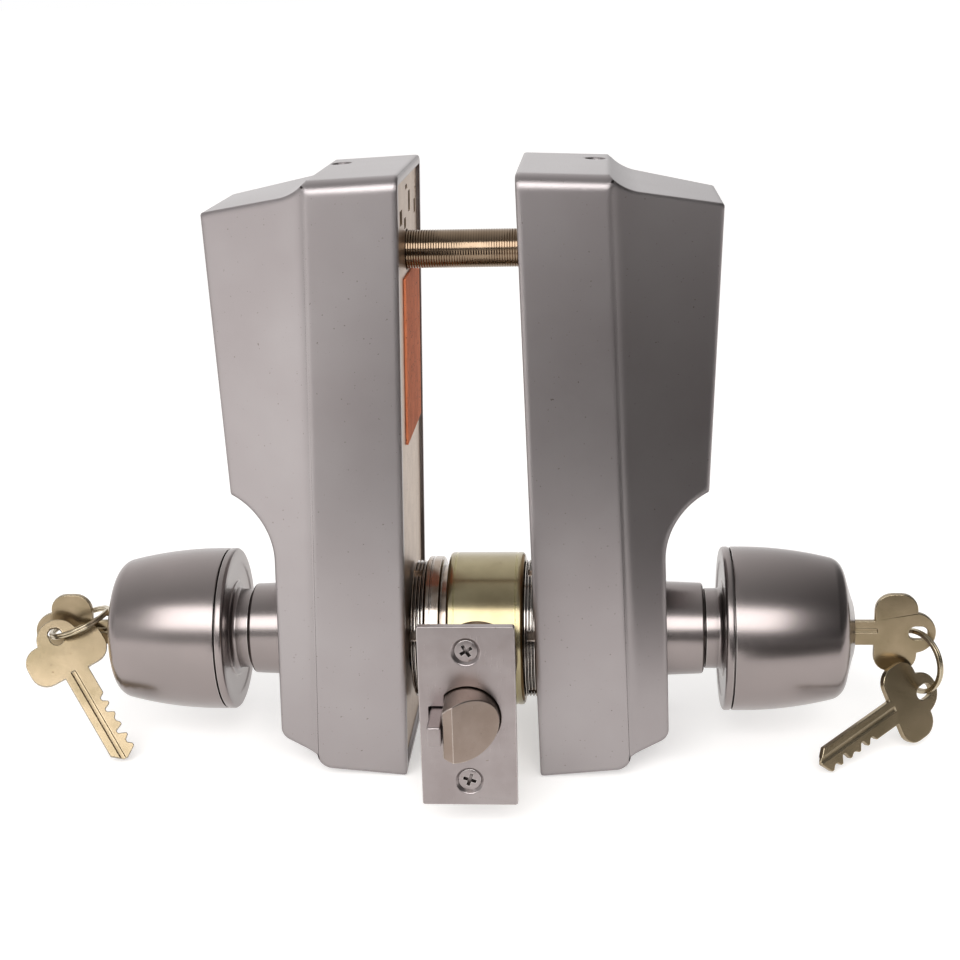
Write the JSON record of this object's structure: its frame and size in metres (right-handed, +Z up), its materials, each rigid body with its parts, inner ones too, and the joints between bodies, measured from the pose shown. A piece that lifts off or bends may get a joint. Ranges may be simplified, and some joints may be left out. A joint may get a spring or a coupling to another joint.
{
  "type": "digital door lock",
  "caption": "Keypad door lock with tall satin chrome housings on both sides of a door, keyed knobs and a deadlocking cylinder latch.",
  "frame": {"origin": "on the knob axis, midway between the door-side faces of the two housings", "axes": "+X toward the interior side along the knob axis, -Y toward the door edge that carries the latch, +Z up"},
  "size_m": [0.3031, 0.1166, 0.1916],
  "materials": {
    "satin_chrome": "satin chrome plate on cast zinc",
    "knob_chrome": "satin chrome plate on brass",
    "latch_nickel": "satin nickel plate",
    "plate_zinc": "bright zinc plate",
    "yellow_zinc": "yellow passivated zinc plate",
    "bright_nickel": "bright nickel plate",
    "passivated_steel": "yellow passivated steel",
    "key_nickel_silver": "nickel silver",
    "plug_brass": "machined brass",
    "ring_steel": "nickel plated steel wire",
    "fibre_sheet": "red brown vulcanised fibre",
    "circuit_green": "solder resist",
    "pad_steel": "fine brushed stainless steel",
    "button_chrome": "satin chrome plate",
    "battery_black": "matte black",
    "spring_steel": "drawn spring steel"
  },
  "bodies": {
    "lock_core": {"chassis_case": "yellow_zinc", "chassis_hubs": "bright_nickel", "thread_collars": "bright_nickel", "latch_faceplate": "latch_nickel", "latch_tube": "plate_zinc", "faceplate_screws": "latch_nickel", "conduit_tube": "passivated_steel", "roses": "knob_chrome", "latch_spring": "spring_steel"},
    "retractor": {"retractor": "plate_zinc"},
    "latch_bolt": {"latch_bolt": "latch_nickel"},
    "deadlock_plunger": {"deadlock_plunger": "latch_nickel"},
    "exterior_housing": {"exterior_housing": "satin_chrome", "exterior_back_plate": "plate_zinc", "exterior_keypad_plate": "pad_steel", "exterior_circuit_board": "circuit_green", "exterior_housing_screws": "plate_zinc", "exterior_insulator": "fibre_sheet"},
    "exterior_knob": {"exterior_knob": "knob_chrome", "exterior_spindle": "knob_chrome"},
    "exterior_plug": {"exterior_plug": "plug_brass"},
    "exterior_key": {"exterior_key": "key_nickel_silver"},
    "exterior_key_ring": {"exterior_key_ring": "ring_steel"},
    "exterior_spare_key": {"exterior_spare_key": "key_nickel_silver"},
    "interior_housing": {"interior_housing": "satin_chrome", "interior_back_plate": "plate_zinc", "interior_keypad_plate": "pad_steel", "interior_circuit_board": "circuit_green", "interior_housing_screws": "plate_zinc", "interior_battery_pack": "battery_black"},
    "interior_knob": {"interior_knob": "knob_chrome", "interior_spindle": "knob_chrome"},
    "interior_plug": {"interior_plug": "plug_brass"},
    "interior_key": {"interior_key": "key_nickel_silver"},
    "interior_key_ring": {"interior_key_ring": "ring_steel"},
    "interior_spare_key": {"interior_spare_key": "key_nickel_silver"},
    "exterior_button_1": {"exterior_button_1": "button_chrome"},
    "exterior_button_2": {"exterior_button_2": "button_chrome"},
    "exterior_button_3": {"exterior_button_3": "button_chrome"},
    "exterior_button_4": {"exterior_button_4": "button_chrome"},
    "exterior_button_5": {"exterior_button_5": "button_chrome"},
    "exterior_button_6": {"exterior_button_6": "button_chrome"},
    "exterior_button_7": {"exterior_button_7": "button_chrome"},
    "exterior_button_8": {"exterior_button_8": "button_chrome"},
    "exterior_button_9": {"exterior_button_9": "button_chrome"},
    "exterior_button_clear": {"exterior_button_clear": "button_chrome"},
    "exterior_button_0": {"exterior_button_0": "button_chrome"},
    "exterior_button_enter": {"exterior_button_enter": "button_chrome"},
    "interior_button_1": {"interior_button_1": "button_chrome"},
    "interior_button_2": {"interior_button_2": "button_chrome"},
    "interior_button_3": {"interior_button_3": "button_chrome"},
    "interior_button_4": {"interior_button_4": "button_chrome"},
    "interior_button_5": {"interior_button_5": "button_chrome"},
    "interior_button_6": {"interior_button_6": "button_chrome"},
    "interior_button_7": {"interior_button_7": "button_chrome"},
    "interior_button_8": {"interior_button_8": "button_chrome"},
    "interior_button_9": {"interior_button_9": "button_chrome"},
    "interior_button_clear": {"interior_button_clear": "button_chrome"},
    "interior_button_0": {"interior_button_0": "button_chrome"},
    "interior_button_enter": {"interior_button_enter": "button_chrome"}
  },
  "joints": [
    {"name": "latch_bolt_slide", "type": "slide", "parent": "lock_core", "child": "latch_bolt", "axis": [0, 1, 0], "range_m": [0, 0.0127], "deforming": ["latch_spring"]},
    {"name": "retractor_slide", "type": "slide", "parent": "lock_core", "child": "retractor", "axis": [0, 1, 0], "range_m": [0, 0.0127]},
    {"name": "deadlock_plunger_slide", "type": "slide", "parent": "lock_core", "child": "deadlock_plunger", "axis": [0, 1, 0], "range_m": [0, 0.0125], "stiffness_N_per_m": 120, "springref_m": -0.008},
    {"name": "exterior_housing_seat", "type": "hinge", "parent": "lock_core", "child": "exterior_housing", "pos_m": [-0.02065, 0, 0], "axis": [0, -1, 0], "range_deg": [0, 1.35]},
    {"name": "exterior_knob_turn", "type": "hinge", "parent": "lock_core", "child": "exterior_knob", "pos_m": [-0.08, 0, 0], "axis": [1, 0, 0], "range_deg": [-60, 60], "stiffness_Nm_per_rad": 0.15},
    {"name": "exterior_plug_turn", "type": "hinge", "parent": "exterior_knob", "child": "exterior_plug", "pos_m": [-0.11, 0, 0], "axis": [1, 0, 0], "range_deg": [0, 90]},
    {"name": "exterior_key_slide", "type": "slide", "parent": "exterior_plug", "child": "exterior_key", "axis": [-1, 0, 0], "range_m": [0, 0.028]},
    {"name": "exterior_ring_swing", "type": "hinge", "parent": "exterior_key", "child": "exterior_key_ring", "pos_m": [-0.14505, 0, -0.0015], "axis": [0, 1, 0], "range_deg": [-12, 0]},
    {"name": "interior_housing_seat", "type": "hinge", "parent": "lock_core", "child": "interior_housing", "pos_m": [0.02065, 0, 0], "axis": [0, 1, 0], "range_deg": [0, 1.35]},
    {"name": "interior_knob_turn", "type": "hinge", "parent": "lock_core", "child": "interior_knob", "pos_m": [0.08, 0, 0], "axis": [1, 0, 0], "range_deg": [0, 60], "stiffness_Nm_per_rad": 0.2, "springref_deg": -20.05},
    {"name": "interior_plug_turn", "type": "hinge", "parent": "interior_knob", "child": "interior_plug", "pos_m": [0.11, 0, 0], "axis": [1, 0, 0], "range_deg": [0, 90]},
    {"name": "interior_key_slide", "type": "slide", "parent": "interior_plug", "child": "interior_key", "axis": [1, 0, 0], "range_m": [0, 0.028]},
    {"name": "interior_ring_swing", "type": "hinge", "parent": "interior_key", "child": "interior_key_ring", "pos_m": [0.14505, 0, -0.0015], "axis": [0, 1, 0], "range_deg": [-12, 6]},
    {"name": "interior_spare_swing", "type": "hinge", "parent": "interior_key_ring", "child": "interior_spare_key", "pos_m": [0.14691, -0.00256, -0.0215], "axis": [-0.5166, 0.8051, -0.2915], "range_deg": [-10, 0]},
    {"name": "exterior_spare_swing", "type": "hinge", "parent": "exterior_key_ring", "child": "exterior_spare_key", "pos_m": [-0.14161, -0.00785, -0.00025], "axis": [-0.2978, 0.7674, -0.5678], "range_deg": [0, 10]},
    {"name": "exterior_button_1_press", "type": "slide", "parent": "exterior_housing", "child": "exterior_button_1", "axis": [0.9992, 0, 0.039], "range_m": [0, 0.0009], "stiffness_N_per_m": 300, "springref_m": -0.001},
    {"name": "exterior_button_2_press", "type": "slide", "parent": "exterior_housing", "child": "exterior_button_2", "axis": [0.9992, 0, 0.039], "range_m": [0, 0.0009], "stiffness_N_per_m": 300, "springref_m": -0.001},
    {"name": "exterior_button_3_press", "type": "slide", "parent": "exterior_housing", "child": "exterior_button_3", "axis": [0.9992, 0, 0.039], "range_m": [0, 0.0009], "stiffness_N_per_m": 300, "springref_m": -0.001},
    {"name": "exterior_button_4_press", "type": "slide", "parent": "exterior_housing", "child": "exterior_button_4", "axis": [0.9992, 0, 0.039], "range_m": [0, 0.0009], "stiffness_N_per_m": 300, "springref_m": -0.001},
    {"name": "exterior_button_5_press", "type": "slide", "parent": "exterior_housing", "child": "exterior_button_5", "axis": [0.9992, 0, 0.039], "range_m": [0, 0.0009], "stiffness_N_per_m": 300, "springref_m": -0.001},
    {"name": "exterior_button_6_press", "type": "slide", "parent": "exterior_housing", "child": "exterior_button_6", "axis": [0.9992, 0, 0.039], "range_m": [0, 0.0009], "stiffness_N_per_m": 300, "springref_m": -0.001},
    {"name": "exterior_button_7_press", "type": "slide", "parent": "exterior_housing", "child": "exterior_button_7", "axis": [0.9992, 0, 0.039], "range_m": [0, 0.0009], "stiffness_N_per_m": 300, "springref_m": -0.001},
    {"name": "exterior_button_8_press", "type": "slide", "parent": "exterior_housing", "child": "exterior_button_8", "axis": [0.9992, 0, 0.039], "range_m": [0, 0.0009], "stiffness_N_per_m": 300, "springref_m": -0.001},
    {"name": "exterior_button_9_press", "type": "slide", "parent": "exterior_housing", "child": "exterior_button_9", "axis": [0.9992, 0, 0.039], "range_m": [0, 0.0009], "stiffness_N_per_m": 300, "springref_m": -0.001},
    {"name": "exterior_button_clear_press", "type": "slide", "parent": "exterior_housing", "child": "exterior_button_clear", "axis": [0.9992, 0, 0.039], "range_m": [0, 0.0009], "stiffness_N_per_m": 300, "springref_m": -0.001},
    {"name": "exterior_button_0_press", "type": "slide", "parent": "exterior_housing", "child": "exterior_button_0", "axis": [0.9992, 0, 0.039], "range_m": [0, 0.0009], "stiffness_N_per_m": 300, "springref_m": -0.001},
    {"name": "exterior_button_enter_press", "type": "slide", "parent": "exterior_housing", "child": "exterior_button_enter", "axis": [0.9992, 0, 0.039], "range_m": [0, 0.0009], "stiffness_N_per_m": 300, "springref_m": -0.001},
    {"name": "interior_button_1_press", "type": "slide", "parent": "interior_housing", "child": "interior_button_1", "axis": [-0.9992, 0, 0.039], "range_m": [0, 0.0009], "stiffness_N_per_m": 300, "springref_m": -0.001},
    {"name": "interior_button_2_press", "type": "slide", "parent": "interior_housing", "child": "interior_button_2", "axis": [-0.9992, 0, 0.039], "range_m": [0, 0.0009], "stiffness_N_per_m": 300, "springref_m": -0.001},
    {"name": "interior_button_3_press", "type": "slide", "parent": "interior_housing", "child": "interior_button_3", "axis": [-0.9992, 0, 0.039], "range_m": [0, 0.0009], "stiffness_N_per_m": 300, "springref_m": -0.001},
    {"name": "interior_button_4_press", "type": "slide", "parent": "interior_housing", "child": "interior_button_4", "axis": [-0.9992, 0, 0.039], "range_m": [0, 0.0009], "stiffness_N_per_m": 300, "springref_m": -0.001},
    {"name": "interior_button_5_press", "type": "slide", "parent": "interior_housing", "child": "interior_button_5", "axis": [-0.9992, 0, 0.039], "range_m": [0, 0.0009], "stiffness_N_per_m": 300, "springref_m": -0.001},
    {"name": "interior_button_6_press", "type": "slide", "parent": "interior_housing", "child": "interior_button_6", "axis": [-0.9992, 0, 0.039], "range_m": [0, 0.0009], "stiffness_N_per_m": 300, "springref_m": -0.001},
    {"name": "interior_button_7_press", "type": "slide", "parent": "interior_housing", "child": "interior_button_7", "axis": [-0.9992, 0, 0.039], "range_m": [0, 0.0009], "stiffness_N_per_m": 300, "springref_m": -0.001},
    {"name": "interior_button_8_press", "type": "slide", "parent": "interior_housing", "child": "interior_button_8", "axis": [-0.9992, 0, 0.039], "range_m": [0, 0.0009], "stiffness_N_per_m": 300, "springref_m": -0.001},
    {"name": "interior_button_9_press", "type": "slide", "parent": "interior_housing", "child": "interior_button_9", "axis": [-0.9992, 0, 0.039], "range_m": [0, 0.0009], "stiffness_N_per_m": 300, "springref_m": -0.001},
    {"name": "interior_button_clear_press", "type": "slide", "parent": "interior_housing", "child": "interior_button_clear", "axis": [-0.9992, 0, 0.039], "range_m": [0, 0.0009], "stiffness_N_per_m": 300, "springref_m": -0.001},
    {"name": "interior_button_0_press", "type": "slide", "parent": "interior_housing", "child": "interior_button_0", "axis": [-0.9992, 0, 0.039], "range_m": [0, 0.0009], "stiffness_N_per_m": 300, "springref_m": -0.001},
    {"name": "interior_button_enter_press", "type": "slide", "parent": "interior_housing", "child": "interior_button_enter", "axis": [-0.9992, 0, 0.039], "range_m": [0, 0.0009], "stiffness_N_per_m": 300, "springref_m": -0.001}
  ],
  "couplings": [
    {"joint": "retractor_slide", "follows": "interior_knob_turn", "m_per_rad": 0.012128},
    {"joint": "latch_bolt_slide", "follows": "interior_knob_turn", "m_per_rad": 0.012128}
  ]
}
